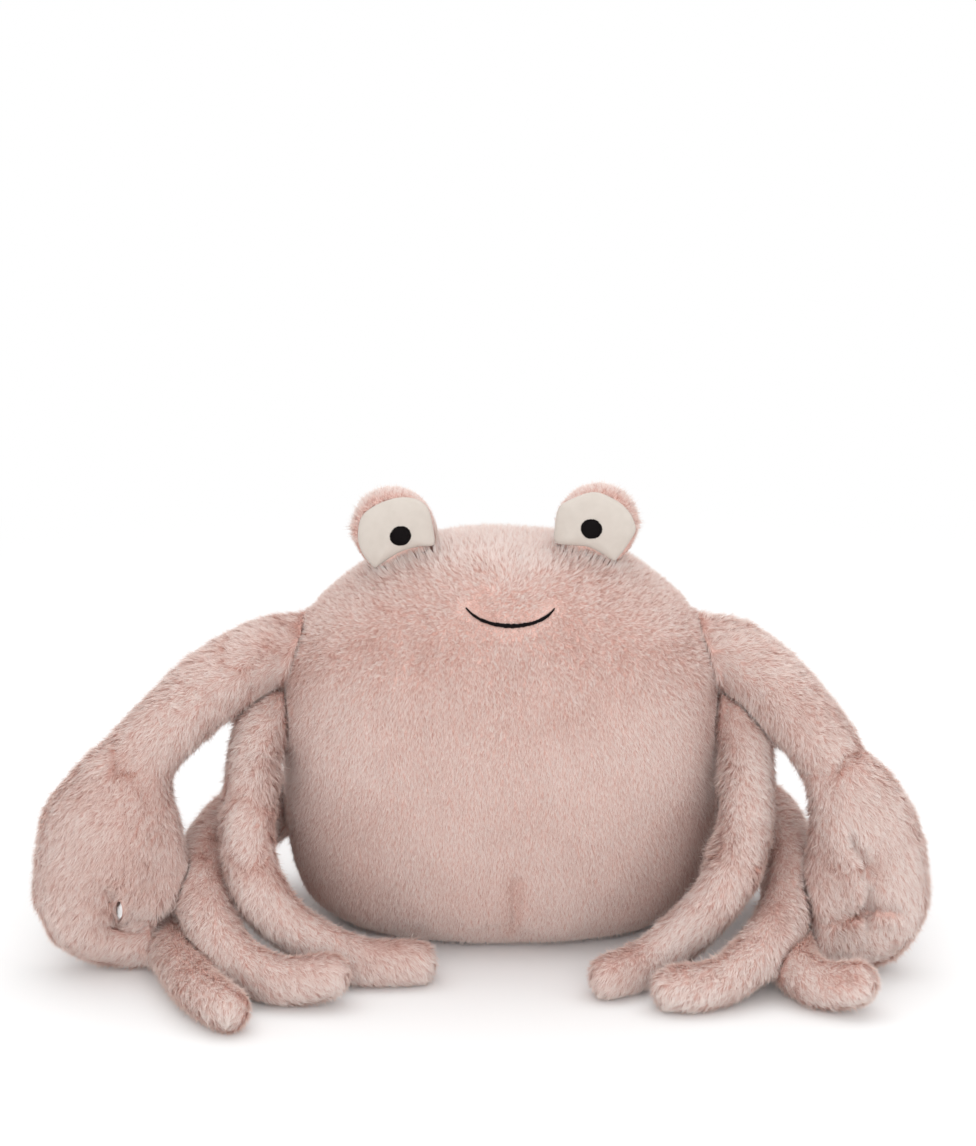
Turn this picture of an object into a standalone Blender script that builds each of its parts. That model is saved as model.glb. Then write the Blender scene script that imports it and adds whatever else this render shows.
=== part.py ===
"""Plush crab: a stuffed body on a flat base, six bendy legs, two arms that end in big claws,
two eyes on furry pods with smooth fronts, and a stitched smile.

Metres, +Z up. The front faces -Y, and left is -X, as the crab is seen from the front.
The origin is the middle of the flat base that the body sits on.
"""

import math

import bmesh
import bpy
from mathutils import Matrix, Vector
from mathutils.bvhtree import BVHTree

# Gap between pieces that touch
GAP = 0.0003
# How far a soft limb is squashed where it lies on the floor
FLOOR_PRESS = 0.0012

# Body
BODY_WIDTH = 0.273
BODY_DEPTH = 0.174
BODY_HEIGHT = 0.2475
BODY_SQUARENESS = 2.25
BODY_SEGMENTS = 38
BODY_RINGS = 26
# Outline from the middle of the base to the top: share of height, of half width, of half depth
BODY_OUTLINE = (
    (0.000, 0.000, 0.000),
    (0.000, 0.300, 0.290),
    (0.000, 0.540, 0.540),
    (0.020, 0.755, 0.690),
    (0.060, 0.870, 0.790),
    (0.115, 0.932, 0.865),
    (0.195, 0.975, 0.925),
    (0.305, 0.996, 0.972),
    (0.430, 1.000, 1.000),
    (0.560, 0.992, 1.000),
    (0.680, 0.960, 0.965),
    (0.780, 0.892, 0.895),
    (0.850, 0.790, 0.805),
    (0.905, 0.660, 0.705),
    (0.950, 0.520, 0.590),
    (0.983, 0.330, 0.420),
    (1.000, 0.000, 0.000),
)

# Legs
LEG_RADIUS = 0.0178
LEG_TIP_SHARE = 0.84
LEG_INSIDE = 0.028
# Each leg: height and depth of its root on the body's side, then the route out from that root:
# outward, depth and height. No height means that the leg lies on the floor there.
LEG_ROUTES = {
    "left_front_leg": ((0.142, 0.000), (
        (0.013, -0.028, 0.130), (0.018, -0.055, 0.100), (0.017, -0.080, 0.070),
        (0.004, -0.098, 0.044), (-0.020, -0.104, 0.025), (-0.050, -0.111, None),
        (-0.082, -0.110, None),
    )),
    "left_middle_leg": ((0.073, 0.016), (
        (0.019, 0.006, 0.074), (0.035, -0.018, 0.069), (0.046, -0.052, 0.059),
        (0.045, -0.090, 0.043), (0.027, -0.122, 0.025), (-0.002, -0.141, None),
        (-0.032, -0.144, 0.019),
    )),
    "left_rear_leg": ((0.059, 0.056), (
        (0.030, 0.054, 0.054), (0.064, 0.034, 0.036), (0.090, -0.004, 0.023),
        (0.098, -0.054, None), (0.091, -0.099, None), (0.071, -0.154, None),
        (0.052, -0.181, None),
    )),
    "right_front_leg": ((0.142, 0.000), (
        (0.013, -0.028, 0.130), (0.014, -0.055, 0.101), (0.009, -0.080, 0.072),
        (-0.008, -0.100, 0.047), (-0.031, -0.103, 0.024), (-0.052, -0.117, None),
        (-0.070, -0.130, None),
    )),
    "right_middle_leg": ((0.073, 0.016), (
        (0.020, 0.006, 0.075), (0.036, -0.018, 0.070), (0.043, -0.052, 0.056),
        (0.036, -0.090, 0.037), (0.015, -0.127, 0.024), (-0.010, -0.147, None),
        (-0.032, -0.149, None),
    )),
    "right_rear_leg": ((0.059, 0.056), (
        (0.030, 0.054, 0.054), (0.062, 0.036, 0.036), (0.074, -0.004, 0.024),
        (0.070, -0.082, None), (0.069, -0.121, None), (0.082, -0.146, None),
        (0.101, -0.155, 0.020),
    )),
}

# Arms: route out from the root, as for the legs, with the radius at each point
ARM_ROOT_HEIGHT = 0.177
ARM_RADIUS = 0.0245
ARM_INSIDE = 0.030
ARM_ROUTES = {
    "left_arm": (
        (0.016, -0.004, 0.175, 0.98), (0.044, -0.020, 0.161, 1.03),
        (0.070, -0.045, 0.144, 1.01), (0.090, -0.060, 0.128, 0.95),
    ),
    "right_arm": (
        (0.015, -0.004, 0.174, 0.98), (0.038, -0.020, 0.158, 1.02),
        (0.058, -0.045, 0.140, 1.00), (0.072, -0.060, 0.121, 0.94),
    ),
}

# Claws: palm and outer finger in one sweep on from the wrist, with the radius at each point
CLAW_FLATNESS = 0.86
CLAW_ROUTES = {
    "left_arm": (
        (0.101, -0.068, 0.109, 0.034), (0.106, -0.075, 0.086, 0.046),
        (0.116, -0.080, 0.060, 0.041), (0.125, -0.084, 0.040, 0.033),
        (0.117, -0.087, None, 0.023), (0.096, -0.089, None, 0.0175),
        (0.084, -0.090, None, 0.0150),
    ),
    "right_arm": (
        (0.082, -0.068, 0.106, 0.030), (0.089, -0.075, 0.084, 0.036),
        (0.100, -0.080, 0.060, 0.032), (0.104, -0.085, 0.041, 0.029),
        (0.097, -0.089, None, 0.023), (0.079, -0.092, None, 0.0175),
        (0.066, -0.093, None, 0.0150),
    ),
}
# Inner fingers: from inside the palm to the tip
INNER_FINGER_ROUTES = {
    "left_arm": (
        (0.090, -0.072, 0.100, 0.024), (0.080, -0.078, 0.075, 0.023),
        (0.078, -0.083, 0.056, 0.021), (0.079, -0.086, 0.048, 0.019),
    ),
    "right_arm": (
        (0.080, -0.072, 0.100, 0.021), (0.071, -0.078, 0.075, 0.020),
        (0.068, -0.084, 0.052, 0.018), (0.069, -0.088, 0.036, 0.016),
    ),
}
CLAW_VOXEL = 0.0088
CLAW_SMOOTHING = 4
# The slit between the fingers: outward and height, from its closed end to its mouth
SLIT_WIDTH = 0.0026
SLIT_ROUTES = {
    "left_arm": (
        (0.113, 0.056), (0.110, 0.050), (0.107, 0.040), (0.098, 0.034),
        (0.088, 0.033), (0.074, 0.036), (0.050, 0.042),
    ),
    "right_arm": (
        (0.085, 0.064), (0.088, 0.052), (0.088, 0.038), (0.083, 0.030),
        (0.072, 0.026), (0.060, 0.020), (0.042, 0.014),
    ),
}

# Eyes: pods on the front of the top of the body, with smooth fronts
EYE_ACROSS = {"left": -0.0650, "right": 0.0570}
EYE_ABOVE_TOP = {"left": 0.0075, "right": 0.0105}
EYE_LEAN_DEG = {"left": 25.0, "right": -19.0}
POD_RADIUS = 0.0260
POD_HEIGHT = 0.0257
POD_DEPTH = 0.0260
POD_MIDDLE_DEPTH = -0.0160
POD_FRONT = 0.0100
WHITE_SHARE = 0.89
WHITE_THICKNESS = 0.0030
WHITE_BASE = 0.52
WHITE_EDGE = 0.0008
PUPIL_RADIUS = 0.0064
PUPIL_THICKNESS = 0.0012
PUPIL_INWARD = 0.0038

# Smile
SMILE_HALF_WIDTH = 0.0265
SMILE_DROP = 0.0120
SMILE_BELOW_TOP = 0.0265
SMILE_SHIFT = 0.0045
SMILE_RADIUS = 0.0012

# Finish
ROUND_SEGMENTS = 12
THREAD_SEGMENTS = 8
STEP_LENGTH = 0.0145
THREAD_STEP = 0.0040
FUR_PINK = (0.62, 0.37, 0.33, 1.0)
EYE_CREAM = (0.84, 0.78, 0.70, 1.0)
THREAD_BLACK = (0.010, 0.010, 0.012, 1.0)


def clear_scene():
    """Removes the start-up objects."""
    for thing in list(bpy.data.objects):
        bpy.data.objects.remove(thing, do_unlink=True)


def new_collection(name):
    """Adds a collection to the scene."""
    made = bpy.data.collections.new(name)
    bpy.context.scene.collection.children.link(made)
    return made


def new_material(name, colour, roughness):
    """A plain Principled material."""
    made = bpy.data.materials.new(name)
    made.use_nodes = True
    shader = made.node_tree.nodes["Principled BSDF"]
    shader.inputs["Base Color"].default_value = colour
    shader.inputs["Roughness"].default_value = roughness
    shader.inputs["Metallic"].default_value = 0.0
    made.diffuse_color = colour
    return made


def add_object(name, mesh, collection, material):
    """Puts a mesh in a collection as a named, smooth object."""
    mesh.name = name
    if material:
        mesh.materials.clear()
        mesh.materials.append(material)
        mesh.shade_smooth()
    made = bpy.data.objects.new(name, mesh)
    collection.objects.link(made)
    return made


def add_cutter(name, mesh, cutters):
    """Puts a mesh among the cutters, which aren't part of the crab."""
    made = add_object(name, mesh, cutters, None)
    made.hide_render = True
    made.display_type = "WIRE"
    return made


def evaluated_mesh(thing):
    """The mesh of an object with its modifiers applied."""
    graph = bpy.context.evaluated_depsgraph_get()
    mesh = bpy.data.meshes.new_from_object(thing.evaluated_get(graph), depsgraph=graph)
    mesh.transform(thing.matrix_world)
    return mesh


def settled(mesh):
    """Welds the mesh's doubled points, turns its faces outwards, and splits them into triangles,
    so that a piece and the cutter made from it bend along the same edges."""
    work = bmesh.new()
    work.from_mesh(mesh)
    bmesh.ops.remove_doubles(work, verts=work.verts, dist=0.00002)
    bmesh.ops.recalc_face_normals(work, faces=work.faces)
    bmesh.ops.triangulate(work, faces=work.faces)
    work.to_mesh(mesh)
    work.free()
    return mesh


def smooth_route(points, step_length=STEP_LENGTH):
    """Points along a smooth curve through the given ones, at about equal steps."""
    ends = [points[0] * 2 - points[1]] + list(points) + [points[-1] * 2 - points[-2]]
    fine = []
    for before, start, stop, after in zip(ends, ends[1:], ends[2:], ends[3:]):
        for step in range(12):
            t = step / 12
            fine.append(
                0.5 * (start * 2 + (stop - before) * t
                       + (before * 2 - start * 5 + stop * 4 - after) * t * t
                       + (start * 3 - before - stop * 3 + after) * t * t * t)
            )
    fine.append(points[-1])
    return evenly_spaced(fine, step_length)


def evenly_spaced(fine, step_length):
    """Resamples a fine line of four-number points at equal steps of its first three numbers."""
    along = [0.0]
    for a, b in zip(fine, fine[1:]):
        along.append(along[-1] + (b.xyz - a.xyz).length)
    count = max(4, round(along[-1] / step_length))
    spaced = []
    place = 0
    for index in range(count + 1):
        wanted = along[-1] * index / count
        while place < len(fine) - 2 and along[place + 1] < wanted:
            place += 1
        share = (wanted - along[place]) / max(along[place + 1] - along[place], 1e-9)
        spaced.append(fine[place].lerp(fine[place + 1], min(1.0, share)))
    return spaced


def rounded_end(spaced):
    """Closes a sweep with a dome: extra points past its last one, in shrinking rings."""
    last = spaced[-1]
    along = (last.xyz - spaced[-2].xyz).normalized()
    rings = []
    for degrees in (25, 48, 68, 82):
        angle = math.radians(degrees)
        centre = last.xyz + along * last.w * math.sin(angle)
        rings.append(Vector((*centre, last.w * math.cos(angle))))
    return spaced + rings


def sweep(name, points, collection, material, closed_start=False,
          segments=ROUND_SEGMENTS, step_length=STEP_LENGTH):
    """A round stuffed tube: a curve with a thickness at each point, made into a mesh."""
    spaced = smooth_route(points, step_length)
    if closed_start:
        spaced = rounded_end(spaced[::-1])[::-1]
    spaced = rounded_end(spaced)
    curve = bpy.data.curves.new(name, "CURVE")
    curve.dimensions = "3D"
    curve.bevel_depth = 1.0
    curve.bevel_resolution = (segments - 4) // 2
    curve.use_fill_caps = True
    curve.resolution_u = 1
    curve.render_resolution_u = 0
    line = curve.splines.new("POLY")
    line.points.add(len(spaced) - 1)
    for point, at in zip(line.points, spaced):
        point.co = (*at.xyz, 1.0)
        point.radius = at.w
    holder = bpy.data.objects.new(name + " curve", curve)
    collection.objects.link(holder)
    mesh = settled(evaluated_mesh(holder))
    bpy.data.objects.remove(holder, do_unlink=True)
    return add_object(name, mesh, collection, material)


def outline_at(share):
    """Share of height, half width and half depth at a place along the body's outline."""
    rows = [Vector(row) for row in BODY_OUTLINE]
    place = min(max(share, 0.0), 1.0) * (len(rows) - 1)
    index = min(int(place), len(rows) - 2)
    t = place - index
    start, stop = rows[index], rows[index + 1]
    before = rows[index - 1] if index else Vector((start.x, -stop.y, -stop.z))
    after = rows[index + 2] if index + 2 < len(rows) else Vector((start.x, -start.y, -start.z))
    if index < 2:
        return start.lerp(stop, t)
    return 0.5 * (start * 2 + (stop - before) * t
                  + (before * 2 - start * 5 + stop * 4 - after) * t * t
                  + (start * 3 - before - stop * 3 + after) * t * t * t)


def rounded_square(angle):
    """Cosine and sine of an angle, pushed outwards between the axes for a boxy round shape."""
    power = 2.0 / BODY_SQUARENESS
    across, along = math.cos(angle), math.sin(angle)
    return (
        math.copysign(abs(across) ** power, across),
        math.copysign(abs(along) ** power, along),
    )


def build_body(collection, material):
    """The body: a sphere taken to the outline's sizes, flat where it sits."""
    work = bmesh.new()
    bmesh.ops.create_uvsphere(work, u_segments=BODY_SEGMENTS, v_segments=BODY_RINGS, radius=1.0)
    for point in work.verts:
        around = math.atan2(point.co.y, point.co.x)
        share = 1.0 - math.acos(min(1.0, max(-1.0, point.co.z))) / math.pi
        height, wide, deep = outline_at(share)
        across, along = rounded_square(around)
        point.co = (
            across * wide * BODY_WIDTH / 2,
            along * deep * BODY_DEPTH / 2,
            height * BODY_HEIGHT,
        )
    mesh = bpy.data.meshes.new("body")
    work.to_mesh(mesh)
    work.free()
    return add_object("body", settled(mesh), collection, material)


def surface_tree(thing):
    """A search tree of an object's faces."""
    return BVHTree.FromObject(thing, bpy.context.evaluated_depsgraph_get())


def side_of_body(tree, side, depth, height):
    """Where the body's side is, at a depth and height: a distance outwards."""
    hit = tree.ray_cast(Vector((side, depth, height)), Vector((-side, 0.0, 0.0)))
    return abs(hit[0].x)


def front_of_body(tree, across, height):
    """Where the body's front is, and which way it faces there."""
    hit = tree.ray_cast(Vector((across, -1.0, height)), Vector((0.0, 1.0, 0.0)))
    return hit[0], hit[1]


def side_sign(name):
    """Which way is outwards for a piece: -1 on the left, 1 on the right."""
    return -1.0 if name.startswith("left") else 1.0


def placed(side, root, out, depth, height, radius):
    """A point of a route in the crab's frame, with its radius. No height means on the floor."""
    if height is None:
        height = radius - FLOOR_PRESS
    return Vector((side * (root + out), depth, height, radius))


def build_leg(name, tree, collection, material):
    """A leg: a tube from inside the body, along its route, to a rounded tip."""
    side = side_sign(name)
    (root_height, root_depth), route = LEG_ROUTES[name]
    root = side_of_body(tree, side, root_depth, root_height)
    points = [
        placed(side, root, -LEG_INSIDE, root_depth, root_height, LEG_RADIUS),
        placed(side, root, 0.0, root_depth, root_height, LEG_RADIUS),
    ]
    for index, (out, depth, height) in enumerate(route):
        share = max(0.0, (index + 1) / len(route) - 0.45) / 0.55
        radius = LEG_RADIUS * (1.0 + (LEG_TIP_SHARE - 1.0) * share)
        points.append(placed(side, root, out, depth, height, radius))
    return sweep(name, points, collection, material)


def arm_points(name, root):
    """The tube of the arm, from inside the body to the wrist."""
    side = side_sign(name)
    points = [
        placed(side, root, -ARM_INSIDE, 0.0, ARM_ROOT_HEIGHT, ARM_RADIUS * 0.95),
        placed(side, root, 0.0, 0.0, ARM_ROOT_HEIGHT, ARM_RADIUS * 0.95),
    ]
    for out, depth, height, share in ARM_ROUTES[name]:
        points.append(placed(side, root, out, depth, height, ARM_RADIUS * share))
    return points


def flattened(mesh, depth):
    """Squashes a claw from front to back about its own middle depth."""
    mesh.transform(Matrix.Translation((0, -depth, 0)))
    mesh.transform(Matrix.Diagonal((1.0, CLAW_FLATNESS, 1.0, 1.0)))
    mesh.transform(Matrix.Translation((0, depth, 0)))


def build_arm(name, tree, collection, cutters, material):
    """An arm and its claw, sewn as one: three sweeps merged into one skin, then slit."""
    side = side_sign(name)
    root = side_of_body(tree, side, 0.0, ARM_ROOT_HEIGHT)
    arm = arm_points(name, root)
    claw = [arm[-1]] + [placed(side, root, *row) for row in CLAW_ROUTES[name]]
    finger = [placed(side, root, *row) for row in INNER_FINGER_ROUTES[name]]
    parts = [
        sweep(name, arm, collection, material, True),
        sweep(name + " claw", claw, collection, material, True),
        sweep(name + " finger", finger, collection, material, True),
    ]
    middle = CLAW_ROUTES[name][2][1]
    for part in parts[1:]:
        flattened(part.data, middle)
    limb = merged(name, parts, collection, material)
    cut_slit(limb, name, root, cutters)
    return limb


def merged(name, parts, collection, material):
    """Several closed shapes made into one even skin."""
    work = bmesh.new()
    for part in parts:
        work.from_mesh(part.data)
        bpy.data.objects.remove(part, do_unlink=True)
    mesh = bpy.data.meshes.new(name)
    work.to_mesh(mesh)
    work.free()
    whole = add_object(name, mesh, collection, material)
    skin = whole.modifiers.new("one skin", "REMESH")
    skin.mode = "VOXEL"
    skin.voxel_size = CLAW_VOXEL
    skin.use_smooth_shade = True
    soften = whole.modifiers.new("soften", "SMOOTH")
    soften.factor = 0.5
    soften.iterations = CLAW_SMOOTHING
    mesh = settled(evaluated_mesh(whole))
    bpy.data.objects.remove(whole, do_unlink=True)
    return add_object(name, mesh, collection, material)


def cut_slit(limb, name, root, cutters):
    """Cuts the slit between the two fingers right through the claw, from front to back."""
    side = side_sign(name)
    line = smooth_route([
        Vector((side * (root + out), 0.0, height, 0.0)) for out, height in SLIT_ROUTES[name]
    ])
    near = CLAW_ROUTES[name][2][1] - 0.07
    far = CLAW_ROUTES[name][2][1] + 0.07
    work = bmesh.new()
    rows = []
    for at in line:
        rows.append([work.verts.new((at.x, depth, at.z)) for depth in (near, far)])
    for first, second in zip(rows, rows[1:]):
        work.faces.new((first[0], second[0], second[1], first[1]))
    mesh = bpy.data.meshes.new(name + " slit")
    work.to_mesh(mesh)
    work.free()
    blade = add_cutter(name + " slit", mesh, cutters)
    thick = blade.modifiers.new("width", "SOLIDIFY")
    thick.thickness = SLIT_WIDTH
    thick.offset = 0.0
    cut(limb, blade)


def cut(target, cutter):
    """Takes a cutter's shape out of a piece."""
    made = target.modifiers.new("cut by " + cutter.name, "BOOLEAN")
    made.operation = "DIFFERENCE"
    made.solver = "EXACT"
    made.object = cutter


def grown_copy(thing, cutters):
    """A cutter in the shape of a piece, larger by the gap all round."""
    work = bmesh.new()
    work.from_mesh(thing.data)
    work.normal_update()
    for point in work.verts:
        point.co += point.normal * GAP
    mesh = bpy.data.meshes.new(thing.name + " grown")
    work.to_mesh(mesh)
    work.free()
    return add_cutter(thing.name + " grown", mesh, cutters)


def press(target, cutter):
    """Presses a soft piece against a neighbour, where the two would run into each other."""
    if surface_tree(target).overlap(surface_tree(cutter)):
        cut(target, cutter)


def build_floor(cutters):
    """A slab under the floor, which flattens the limbs that lie on it."""
    work = bmesh.new()
    bmesh.ops.create_cube(work, size=1.0)
    mesh = bpy.data.meshes.new("floor slab")
    work.to_mesh(mesh)
    work.free()
    mesh.transform(Matrix.Translation((0.0, 0.0, -0.5)))
    return add_cutter("floor slab", mesh, cutters)


def eye_frame(which):
    """Where an eye stands and how it leans."""
    across, height = EYE_ACROSS[which], BODY_HEIGHT + EYE_ABOVE_TOP[which]
    place = Matrix.Translation((across, POD_MIDDLE_DEPTH, height))
    lean = Matrix.Rotation(math.radians(-EYE_LEAN_DEG[which]), 4, "Y")
    return place @ lean


def build_pod(which, collection, material):
    """The furry pod behind an eye: a sphere with a flat front."""
    work = bmesh.new()
    bmesh.ops.create_uvsphere(work, u_segments=20, v_segments=14, radius=1.0)
    work.transform(Matrix.Diagonal((POD_RADIUS, POD_DEPTH, POD_HEIGHT, 1.0)))
    whole = list(work.verts) + list(work.edges) + list(work.faces)
    bmesh.ops.bisect_plane(
        work, geom=whole, dist=0.00001, plane_co=(0.0, -POD_FRONT, 0.0),
        plane_no=(0.0, -1.0, 0.0), clear_outer=True,
    )
    rim = [edge for edge in work.edges if edge.is_boundary]
    bmesh.ops.holes_fill(work, edges=rim, sides=0)
    mesh = bpy.data.meshes.new(which + "_eye_pod")
    work.to_mesh(mesh)
    work.free()
    mesh.transform(eye_frame(which))
    return add_object(which + "_eye_pod", settled(mesh), collection, material)


def white_outline():
    """The rounded outline of an eye's smooth front, flat at the bottom."""
    across = POD_RADIUS * WHITE_SHARE
    up = POD_HEIGHT * WHITE_SHARE
    base = -WHITE_BASE * up
    start = math.asin(-WHITE_BASE)
    points = []
    for step in range(23):
        angle = start + (math.pi - 2 * start) * step / 22
        points.append((across * math.cos(angle), up * math.sin(angle)))
    half = across * math.cos(start)
    for step in range(1, 4):
        points.append((-half + 2 * half * step / 4, base))
    return points


def flat_shape(name, points, thickness, edge, collection):
    """A filled flat outline in the XZ plane, given a thickness and a cut-back edge."""
    curve = bpy.data.curves.new(name, "CURVE")
    curve.dimensions = "2D"
    curve.fill_mode = "BOTH"
    curve.extrude = thickness / 2 - edge
    curve.bevel_depth = edge
    curve.bevel_resolution = 0
    curve.resolution_u = 1
    curve.render_resolution_u = 0
    line = curve.splines.new("POLY")
    line.points.add(len(points) - 1)
    for point, (across, up) in zip(line.points, points):
        point.co = (across, up, 0.0, 1.0)
    line.use_cyclic_u = True
    holder = bpy.data.objects.new(name + " curve", curve)
    collection.objects.link(holder)
    mesh = settled(evaluated_mesh(holder))
    bpy.data.objects.remove(holder, do_unlink=True)
    mesh.transform(Matrix.Rotation(math.pi / 2, 4, "X"))
    return mesh


def build_white(which, collection, material):
    """The smooth front of an eye, just in front of its pod."""
    mesh = flat_shape(
        which + "_eye_white", white_outline(), WHITE_THICKNESS, WHITE_EDGE, collection
    )
    forward = POD_FRONT + GAP + WHITE_THICKNESS / 2
    mesh.transform(eye_frame(which) @ Matrix.Translation((0.0, -forward, 0.0)))
    return add_object(which + "_eye_white", mesh, collection, material)


def build_pupil(which, collection, material):
    """The stitched pupil, just in front of the eye's smooth front."""
    outline = []
    for step in range(18):
        angle = 2 * math.pi * step / 18
        outline.append((PUPIL_RADIUS * math.cos(angle), PUPIL_RADIUS * math.sin(angle)))
    mesh = flat_shape(which + "_pupil", outline, PUPIL_THICKNESS, PUPIL_THICKNESS / 4, collection)
    forward = POD_FRONT + GAP * 2 + WHITE_THICKNESS + PUPIL_THICKNESS / 2
    inward = -math.copysign(PUPIL_INWARD, EYE_ACROSS[which])
    place = Matrix.Translation((inward, -forward, 0.0))
    mesh.transform(eye_frame(which) @ place)
    return add_object(which + "_pupil", mesh, collection, material)


def build_smile(tree, collection, material):
    """The stitched smile: a thin line that follows the body's front."""
    points = []
    for step in range(15):
        share = -1.0 + 2.0 * step / 14
        across = SMILE_SHIFT + SMILE_HALF_WIDTH * share
        height = BODY_HEIGHT - SMILE_BELOW_TOP - SMILE_DROP * (1.0 - share * share)
        surface, outwards = front_of_body(tree, across, height)
        middle = surface + outwards * (SMILE_RADIUS + GAP)
        points.append(Vector((*middle, SMILE_RADIUS)))
    return sweep("smile", points, collection, material, True, THREAD_SEGMENTS, THREAD_STEP)


def build():
    """Builds every piece, then presses each soft piece against its neighbours."""
    clear_scene()
    pieces = new_collection("plush_crab")
    cutters = new_collection("cutters")
    fur = new_material("pink fur", FUR_PINK, 0.95)
    cream = new_material("cream suede", EYE_CREAM, 0.85)
    thread = new_material("black thread", THREAD_BLACK, 0.55)

    body = build_body(pieces, fur)
    tree = surface_tree(body)
    body_grown = grown_copy(body, cutters)
    floor = build_floor(cutters)
    for side in ("left", "right"):
        limbs = [build_arm(side + "_arm", tree, pieces, cutters, fur)]
        for place in ("front", "middle", "rear"):
            limbs.append(build_leg(side + "_" + place + "_leg", tree, pieces, fur))
        grown = [grown_copy(limb, cutters) for limb in limbs[:-1]]
        for index, limb in enumerate(limbs):
            press(limb, body_grown)
            press(limb, floor)
            for neighbour in grown[:index]:
                press(limb, neighbour)
        press(build_pod(side, pieces, fur), body_grown)
        press(build_white(side, pieces, cream), body_grown)
        build_pupil(side, pieces, thread)
    press(build_smile(tree, pieces, thread), body_grown)


build()
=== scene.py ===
"""Looks of the seated plush crab: stuffed skins, combed pile, suede eyes, stitched details.

Each furry CAD node gets a skin, which is its own shape remeshed, drawn in and puffed up again by a
short cloth run, and a pile, which is a mesh of fine blades that grow from the skin. The blades are
combed along the limbs and down the body, gathered into tufts, and kept out of the pieces beside
them. Their colour comes from one map: across it runs the tone of the blade, and up it the way from
the blade's root to its tip. The tone also carries painted shade in creases, seams, joints and some
spots, and painted light on the crown, the feet and other spots.
"""

import heapq
import math

import bmesh
import bpy
import numpy as np
from mathutils import Matrix, Vector, kdtree, noise
from mathutils.bvhtree import BVHTree


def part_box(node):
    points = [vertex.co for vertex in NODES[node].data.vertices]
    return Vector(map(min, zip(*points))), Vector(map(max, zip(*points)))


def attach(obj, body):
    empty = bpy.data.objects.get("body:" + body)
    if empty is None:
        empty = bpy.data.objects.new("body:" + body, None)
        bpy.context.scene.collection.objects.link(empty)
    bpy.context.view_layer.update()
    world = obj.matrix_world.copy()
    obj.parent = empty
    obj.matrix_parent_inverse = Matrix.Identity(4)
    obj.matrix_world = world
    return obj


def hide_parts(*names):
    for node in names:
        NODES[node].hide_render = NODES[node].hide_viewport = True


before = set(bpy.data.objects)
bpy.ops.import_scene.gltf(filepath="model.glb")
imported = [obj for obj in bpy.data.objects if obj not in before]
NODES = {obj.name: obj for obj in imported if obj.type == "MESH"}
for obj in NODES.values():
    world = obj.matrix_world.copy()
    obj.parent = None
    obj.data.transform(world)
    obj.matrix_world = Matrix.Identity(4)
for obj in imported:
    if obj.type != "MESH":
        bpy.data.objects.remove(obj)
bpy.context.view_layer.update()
SCENE = bpy.context.scene
SEED = 7
# The vector noise would otherwise start from the clock and differ in each run
noise.seed_set(SEED)

# Camera of the photograph
PHOTO_WIDTH, PHOTO_HEIGHT = 976, 1146
LENS_MM = 100.0
SENSOR_MM = 36.0
CAMERA_PLACE = Vector((0.0, -1.87834, 0.73631))
CAMERA_AIM = Vector((-0.00439, 0.96470, -0.26331))

# Skins: voxel of the remesh, how far the skin lies under the CAD surface, and the cloth run
VOXELS = {"body": 0.0042, "arm": 0.0023, "leg": 0.0038, "pod": 0.0026}
INSETS = {"body": 0.0020, "arm": 0.0022, "leg": 0.0022, "pod": 0.0014}
STUFFING_CAP = 0.0016
STUFFING_PRESSURE = 4.0
STUFFING_FRAMES = 20
LUMP_HEIGHT = 0.0010
LUMP_SIZE = 0.030
FLOOR_BAND = 0.010
SEAM_INSET = 0.0007
SEAM_BAND = 0.0065

# Pile: blades on a square millimetre, their width and length, and the tufts that they form
BLADES_PER_MM2 = {"body": 2.35, "arm": 2.05, "leg": 2.15, "pod": 2.2}
BLADE_WIDTHS = {"body": 0.00048, "arm": 0.00060, "leg": 0.00060, "pod": 0.00054}
PILE_LENGTH = {"body": 0.0047, "arm": 0.0068, "leg": 0.0066, "pod": 0.0058}
TUFT_SPACINGS = {"body": 0.0017, "arm": 0.0029, "leg": 0.0029, "pod": 0.0024}
BLADE_LEAST = 0.0012
BLADES_IN_A_PIECE = 190000
# Share of the blades underneath and at the back
UNDERSIDE_SHARE = 0.35
BACK_SHARE = 0.60
# Ranges from which each blade draws
LENGTH_DRAW = (0.72, 1.12)
WIDTH_DRAW = (0.75, 1.25)
ROLL_DRAW = (-0.45, 0.45)
TUFT_DRAW = (0.0, 0.36)
# Lift off the skin, and spreads of turn, lift and tone: of a blade, and of a tuft where the pile
# is sleek and what tousled pile adds
LIFT = (0.27, 0.15)
LIFT_RANGE = (0.12, 1.25)
TONE_RANGE = (0.04, 0.96)
BLADE_TURN, BLADE_LIFT, BLADE_TONE = 0.22, 0.10, 0.08
TUFT_TURN, TUFT_LIFT, TUFT_TONE = (0.08, 0.55), (0.03, 0.12), (0.04, 0.14)
# Guard hairs: their share, and how much paler, steeper and thinner they are
GUARD_HAIRS = 0.15
GUARD_PALER = 0.22
GUARD_LIFT = (0.25, 0.80)
GUARD_THIN = 0.6
# How far blades look for other pieces, and the room that they leave them
NEAR_REACH = 0.010
STITCH_BAND = 0.006
NEIGHBOUR_ROOM = 0.0007
POD_ROOM = 0.0032
TIP_ROOM = 0.0002
FLOOR_ROOM = 0.0004
# Inset of the pile's map from its edges
MAP_INSET = 0.02

# Where the pile of each limb starts to be combed from
LIMB_ROOTS = {
    f"{side}_{limb}": (way * across, deep, high)
    for limb, across, deep, high in (
        ("arm", 0.125, 0.0, 0.177), ("front_leg", 0.135, 0.0, 0.142),
        ("middle_leg", 0.130, 0.016, 0.073), ("rear_leg", 0.125, 0.056, 0.059))
    for side, way in (("left", -1), ("right", 1))
}

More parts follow.
